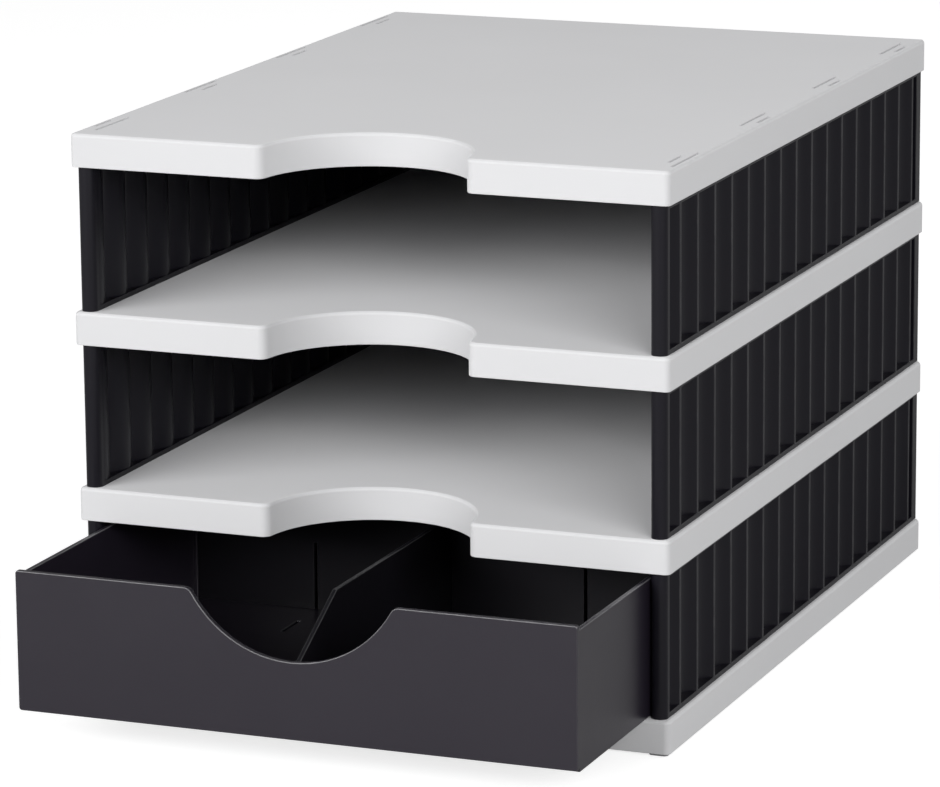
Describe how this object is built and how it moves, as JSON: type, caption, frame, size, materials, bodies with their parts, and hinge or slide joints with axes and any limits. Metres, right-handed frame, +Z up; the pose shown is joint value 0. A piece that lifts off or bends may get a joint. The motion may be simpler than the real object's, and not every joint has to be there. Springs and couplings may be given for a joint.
{
  "type": "letter tray stack with drawer",
  "caption": "Desk organizer of stacked plates on fluted side walls: open letter trays over a sliding divided drawer with a finger scoop.",
  "frame": {"origin": "on the desk, in the middle of the footprint with the drawer drawn out 78 mm as stored", "axes": "+X to the right seen from the front, -Y to the front, where the drawer opens, +Z up"},
  "size_m": [0.26, 0.423, 0.2385],
  "materials": {
    "light_grey": "fine satin",
    "black": "satin",
    "anthracite": "fine satin",
    "pad_rubber": "matt"
  },
  "bodies": {
    "housing": {"base_plate": "light_grey", "lower_shelf": "light_grey", "upper_shelf": "light_grey", "top_plate": "light_grey", "lower_left_wall": "black", "lower_right_wall": "black", "middle_left_wall": "black", "middle_right_wall": "black", "upper_left_wall": "black", "upper_right_wall": "black", "lower_back_panel": "black", "middle_back_panel": "black", "upper_back_panel": "black", "front_left_pad": "pad_rubber", "front_right_pad": "pad_rubber", "rear_left_pad": "pad_rubber", "rear_right_pad": "pad_rubber"},
    "drawer": {"drawer_tray": "anthracite", "long_divider": "anthracite", "cross_divider": "anthracite"}
  },
  "joints": [
    {"name": "drawer_slide", "type": "slide", "parent": "housing", "child": "drawer", "axis": [0, -1, 0], "range_m": [-0.078, 0.168]}
  ]
}
